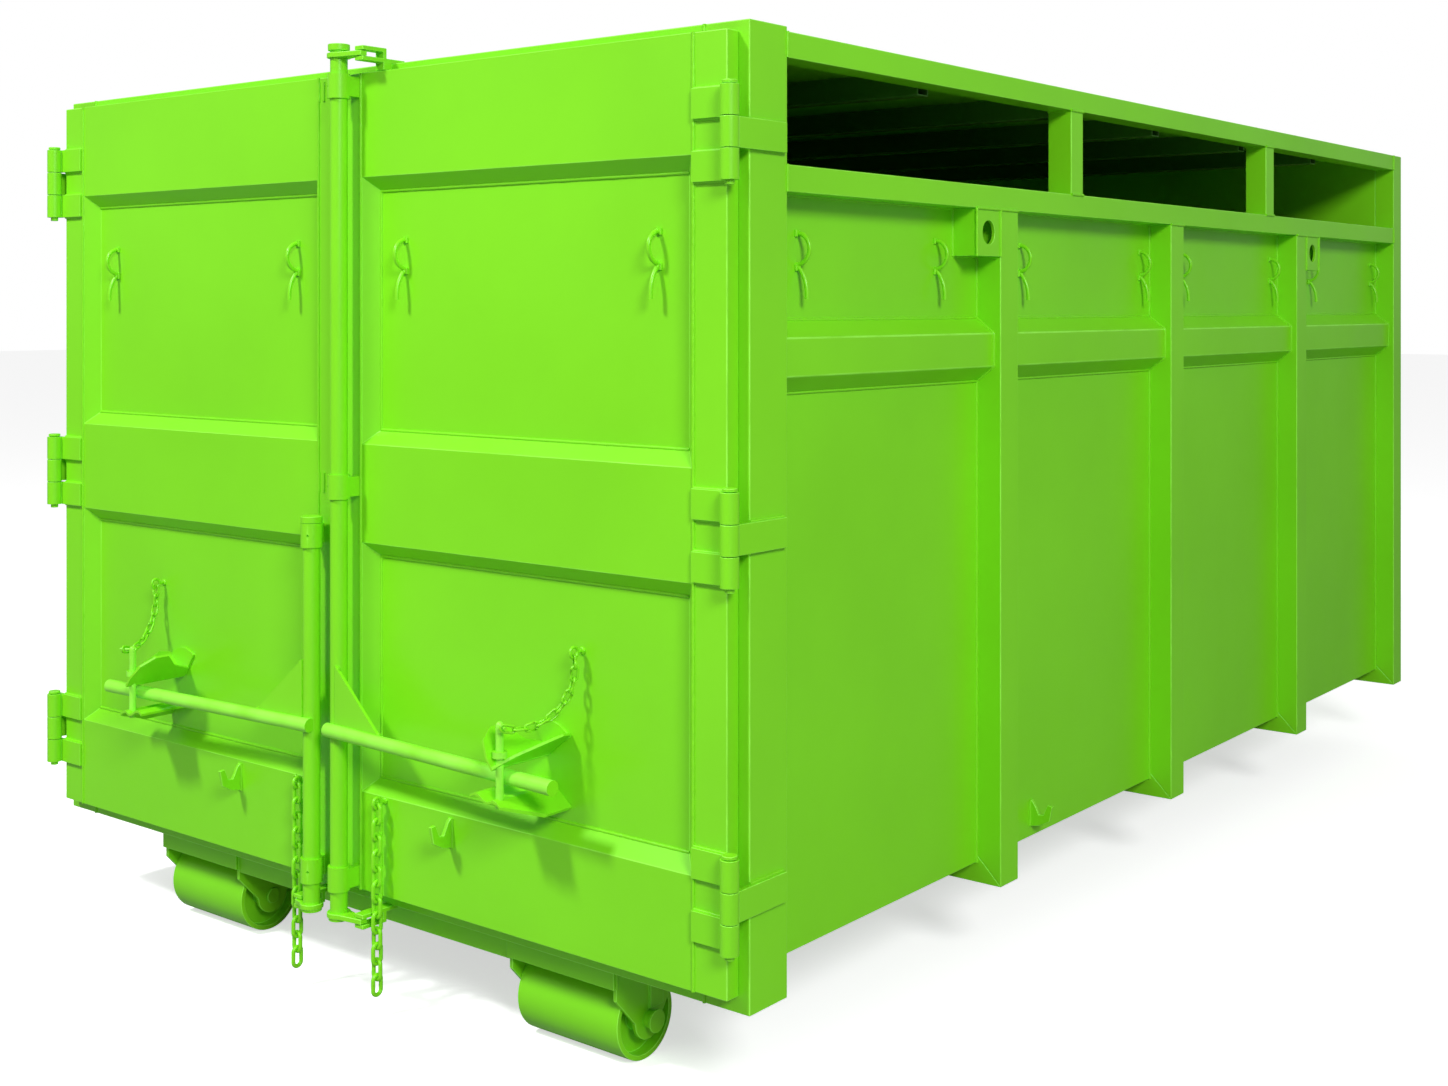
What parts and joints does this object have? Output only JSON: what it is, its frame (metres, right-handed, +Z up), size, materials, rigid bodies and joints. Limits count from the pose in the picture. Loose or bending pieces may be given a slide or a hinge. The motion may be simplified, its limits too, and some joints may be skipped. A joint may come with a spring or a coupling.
{
  "type": "hook-lift roll-off container",
  "caption": "Closed hook-lift steel container with pressed double rear doors, lock bars, safety pins, side windows, tarp hooks and rear rollers.",
  "frame": {"origin": "on the ground, under the middle of the container", "axes": "+Z up, the rear doors face -Y, the side with the windows faces +X"},
  "size_m": [2.532, 4.56, 2.3475],
  "materials": {
    "paint_body": "semi-gloss lime green enamel over welded steel sheet",
    "paint_doors": "semi-gloss lime green enamel on pressed steel doors",
    "paint_frame": "semi-gloss lime green enamel, slightly dulled underneath",
    "paint_inside": "lime green enamel in shade inside the container",
    "paint_locks": "semi-gloss lime green enamel on round tube",
    "paint_pins": "lime green enamel on round steel bar",
    "paint_rollers": "lime green enamel on rolled steel drums",
    "paint_chains": "lime green enamel on welded steel chain"
  },
  "bodies": {
    "container": {"main_rails": "paint_frame", "cross_members": "paint_frame", "floor_plate": "paint_inside", "right_side_wall": "paint_body", "left_side_wall": "paint_body", "right_side_bands": "paint_body", "left_side_bands": "paint_body", "right_side_ribs": "paint_body", "left_side_ribs": "paint_body", "rear_corner_posts": "paint_body", "front_corner_posts": "paint_body", "rear_header": "paint_body", "rear_sill": "paint_body", "top_rails": "paint_body", "window_sill_rail": "paint_body", "window_posts": "paint_body", "roof_sheet": "paint_body", "roof_bows": "paint_inside", "front_wall": "paint_body", "front_wall_beams": "paint_body", "hook_cheeks": "paint_body", "hook_bar": "paint_pins", "front_feet": "paint_frame", "roller_cross_beam": "paint_frame", "roller_brackets": "paint_body", "roller_axles": "paint_pins", "post_hinge_straps": "paint_body", "hinge_pins": "paint_pins", "side_tarp_hooks": "paint_body", "lug_boxes": "paint_body", "side_chain_hooks": "paint_body", "lock_keepers": "paint_locks"},
    "right_door": {"right_door_panel": "paint_doors", "right_door_stiles": "paint_doors", "right_hinge_leaves": "paint_doors", "right_rod_sleeves": "paint_locks", "right_catch_plates": "paint_body", "right_chain_eyes": "paint_body", "right_chain_hook": "paint_body", "right_door_tarp_hooks": "paint_doors"},
    "right_lock_bar": {"right_lock_rod": "paint_locks", "right_handle": "paint_locks"},
    "right_pin": {"right_safety_pin": "paint_pins", "right_pin_chain": "paint_chains"},
    "right_chain": {"right_hanging_chain": "paint_chains"},
    "right_wheel": {"right_roller": "paint_rollers"},
    "left_door": {"left_door_panel": "paint_doors", "left_door_stiles": "paint_doors", "left_hinge_leaves": "paint_doors", "left_rod_sleeves": "paint_locks", "left_catch_plates": "paint_body", "left_chain_eyes": "paint_body", "left_chain_hook": "paint_body", "left_door_tarp_hooks": "paint_doors"},
    "left_lock_bar": {"left_lock_rod": "paint_locks", "left_handle": "paint_locks"},
    "left_pin": {"left_safety_pin": "paint_pins", "left_pin_chain": "paint_chains"},
    "left_chain": {"left_hanging_chain": "paint_chains"},
    "left_wheel": {"left_roller": "paint_rollers"}
  },
  "joints": [
    {"name": "right_door_hinge", "type": "hinge", "parent": "container", "child": "right_door", "pos_m": [1.246, -2.152, 1.233], "axis": [0, 0, 1], "range_deg": [0, 240]},
    {"name": "right_lock_turn", "type": "hinge", "parent": "right_door", "child": "right_lock_bar", "pos_m": [0.052, -2.175, 1.145], "axis": [0, 0, -1], "range_deg": [0, 120]},
    {"name": "right_pin_lift", "type": "slide", "parent": "right_door", "child": "right_pin", "axis": [0, 0, 1], "range_m": [0, 0.09], "deforming": ["right_pin_chain"]},
    {"name": "right_chain_swing", "type": "hinge", "parent": "right_door", "child": "right_chain", "pos_m": [0.17, -2.156, 0.513], "axis": [-1, 0, 0], "range_deg": [0, 60]},
    {"name": "right_roller_spin", "type": "hinge", "parent": "container", "child": "right_wheel", "pos_m": [0.68, -1.94, 0.095], "axis": [1, 0, 0], "continuous": true},
    {"name": "left_door_hinge", "type": "hinge", "parent": "container", "child": "left_door", "pos_m": [-1.246, -2.152, 1.233], "axis": [0, 0, -1], "range_deg": [0, 240]},
    {"name": "left_lock_turn", "type": "hinge", "parent": "left_door", "child": "left_lock_bar", "pos_m": [-0.052, -2.175, 1.145], "axis": [0, 0, 1], "range_deg": [0, 120]},
    {"name": "left_pin_lift", "type": "slide", "parent": "left_door", "child": "left_pin", "axis": [0, 0, 1], "range_m": [0, 0.09], "deforming": ["left_pin_chain"]},
    {"name": "left_chain_swing", "type": "hinge", "parent": "left_door", "child": "left_chain", "pos_m": [-0.132, -2.156, 0.513], "axis": [-1, 0, 0], "range_deg": [0, 60]},
    {"name": "left_roller_spin", "type": "hinge", "parent": "container", "child": "left_wheel", "pos_m": [-0.68, -1.94, 0.095], "axis": [1, 0, 0], "continuous": true}
  ]
}
